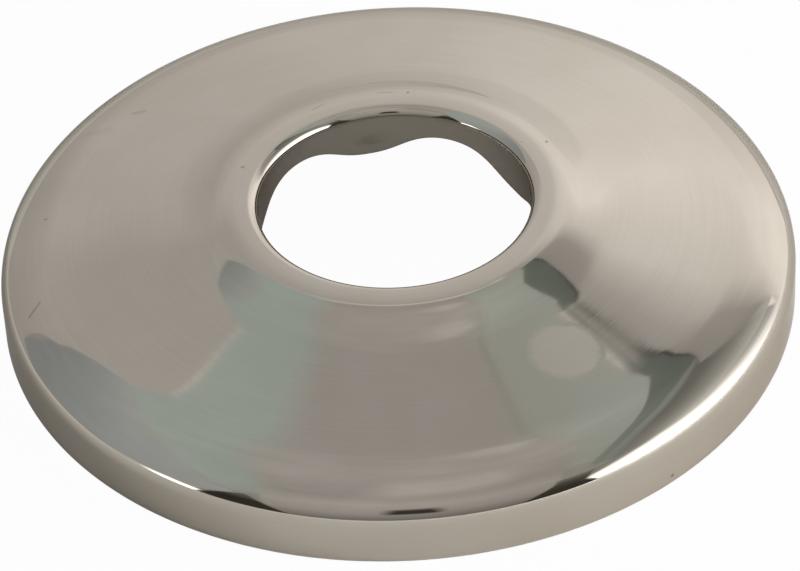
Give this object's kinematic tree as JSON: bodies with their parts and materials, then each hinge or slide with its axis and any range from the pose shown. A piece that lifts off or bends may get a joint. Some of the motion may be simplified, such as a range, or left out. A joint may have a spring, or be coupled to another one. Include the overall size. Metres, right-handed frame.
{
  "type": "pipe escutcheon",
  "caption": "Shallow bell-shaped wall plate pressed from plated sheet steel, with a straight skirt and a scalloped collar inside its hole that centres it on the pipe it trims.",
  "frame": {"origin": "centre of the skirt's foot, in the plane of the wall", "axes": "+Z along the pipe, away from the wall; +Y through the middle of one lobe of the collar"},
  "size_m": [0.0636, 0.0636, 0.0097],
  "materials": {
    "polished_nickel": "bright nickel plate on pressed steel, polished, with a few handling scratches"
  },
  "bodies": {
    "root": {"escutcheon": "polished_nickel"}
  },
  "joints": []
}
